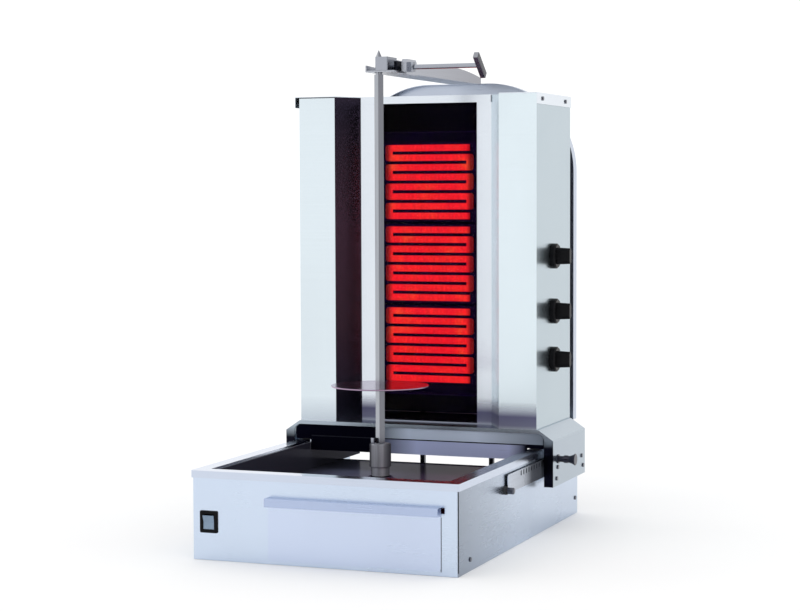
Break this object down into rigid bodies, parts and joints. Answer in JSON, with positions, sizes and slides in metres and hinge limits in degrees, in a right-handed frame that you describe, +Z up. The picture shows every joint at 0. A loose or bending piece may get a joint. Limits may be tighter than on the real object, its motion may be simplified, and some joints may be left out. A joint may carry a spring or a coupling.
{
  "type": "vertical rotisserie grill",
  "caption": "Vertical rotisserie grill: drip pan base with drawer, turning skewer with meat disc, and a sliding glass-fronted heater tower with knobs and a top bearing arm.",
  "frame": {"origin": "middle of the base's flat underside", "axes": "+X to the right seen from the front, +Y to the back (the heater tower's side), +Z up along the skewer"},
  "size_m": [0.592, 0.7676, 0.91],
  "materials": {
    "stainless": "satin",
    "mirror_steel": "bright",
    "galvanised": "satin",
    "bright_steel": "polished",
    "black_plastic": "gloss",
    "rocker_plastic": "gloss",
    "black_rubber": "matt",
    "glide_plastic": "matt",
    "heater_glass": "clear",
    "hot_element": "glowing",
    "insulation": "matt",
    "motor_paint": "satin",
    "brass_bush": "satin"
  },
  "bodies": {
    "base": {"base_shell": "stainless", "base_bottom": "galvanised", "base_screws": "bright_steel", "drip_pan": "stainless", "motor_bracket": "galvanised", "gearbox": "motor_paint", "motor": "motor_paint", "spindle_bearing": "brass_bush", "cable_gland": "black_plastic", "back_posts": "galvanised", "guide_rails": "stainless", "stop_bolts": "bright_steel", "stop_rings": "black_rubber", "drawer_runners": "galvanised", "switch_housing": "black_plastic", "rear_cover": "stainless", "rear_standoffs": "bright_steel", "arm_bracket": "stainless", "support_arm": "stainless", "clamp_plate": "stainless", "clamp_nut": "bright_steel"},
    "carriage": {"portal": "stainless", "beam_panel": "stainless", "carriage_rear_panel": "galvanised", "splash_panel": "stainless", "glide_blocks": "glide_plastic", "carriage_screws": "bright_steel", "plunger_sleeve": "bright_steel", "column_left": "mirror_steel", "column_right": "stainless", "tower_back": "galvanised", "glass_frame": "stainless", "glass_panel": "heater_glass", "heater_tray": "galvanised", "insulation_boards": "insulation", "heating_element_upper": "hot_element", "heating_element_middle": "hot_element", "heating_element_lower": "hot_element", "top_cover": "stainless", "regulators": "black_plastic"},
    "drawer": {"drawer_front": "stainless", "drawer_tray": "stainless"},
    "rocker": {"rocker": "rocker_plastic"},
    "jaw": {"bearing_block": "bright_steel"},
    "clamp": {"clamp_screw": "bright_steel", "clamp_handle": "bright_steel"},
    "skewer": {"output_shaft": "bright_steel", "skewer_socket": "bright_steel", "socket_lug": "bright_steel", "skewer": "bright_steel", "cross_pin": "bright_steel"},
    "disc": {"meat_disc": "stainless"},
    "plunger": {"plunger_pin": "bright_steel"},
    "knob_upper": {"knob_upper": "black_plastic", "knob_shaft_upper": "bright_steel"},
    "knob_middle": {"knob_middle": "black_plastic", "knob_shaft_middle": "bright_steel"},
    "knob_lower": {"knob_lower": "black_plastic", "knob_shaft_lower": "bright_steel"}
  },
  "joints": [
    {"name": "tower_slide", "type": "slide", "parent": "base", "child": "carriage", "axis": [0, 1, 0], "range_m": [-0.144, 0]},
    {"name": "jaw_slide", "type": "slide", "parent": "base", "child": "jaw", "axis": [1, 0, 0], "range_m": [0, 0.009]},
    {"name": "clamp_turn", "type": "hinge", "parent": "jaw", "child": "clamp", "pos_m": [0, -0.044, 0.881], "axis": [1, 0, 0], "range_deg": [0, 2160]},
    {"name": "skewer_spin", "type": "hinge", "parent": "base", "child": "skewer", "pos_m": [0, -0.088, 0.141], "axis": [0, 0, 1], "continuous": true},
    {"name": "disc_slide", "type": "slide", "parent": "skewer", "child": "disc", "axis": [0, 0, 1], "range_m": [0, 0.3]},
    {"name": "drawer_slide", "type": "slide", "parent": "base", "child": "drawer", "axis": [0, 1, 0], "range_m": [-0.19, 0]},
    {"name": "power_rocker", "type": "hinge", "parent": "base", "child": "rocker", "pos_m": [-0.218, -0.357, 0.0683], "axis": [1, 0, 0], "range_deg": [-16, 0]},
    {"name": "index_plunger", "type": "slide", "parent": "carriage", "child": "plunger", "axis": [1, 0, 0], "range_m": [-0.006, 0]},
    {"name": "heat_upper", "type": "hinge", "parent": "carriage", "child": "knob_upper", "pos_m": [0.25, 0.208, 0.525], "axis": [1, 0, 0], "range_deg": [-270, 0]},
    {"name": "heat_middle", "type": "hinge", "parent": "carriage", "child": "knob_middle", "pos_m": [0.25, 0.208, 0.418], "axis": [1, 0, 0], "range_deg": [-270, 0]},
    {"name": "heat_lower", "type": "hinge", "parent": "carriage", "child": "knob_lower", "pos_m": [0.25, 0.208, 0.324], "axis": [1, 0, 0], "range_deg": [-270, 0]}
  ],
  "couplings": [
    {"joint": "clamp_turn", "follows": "jaw_slide", "rad_per_m": 4188.8}
  ]
}
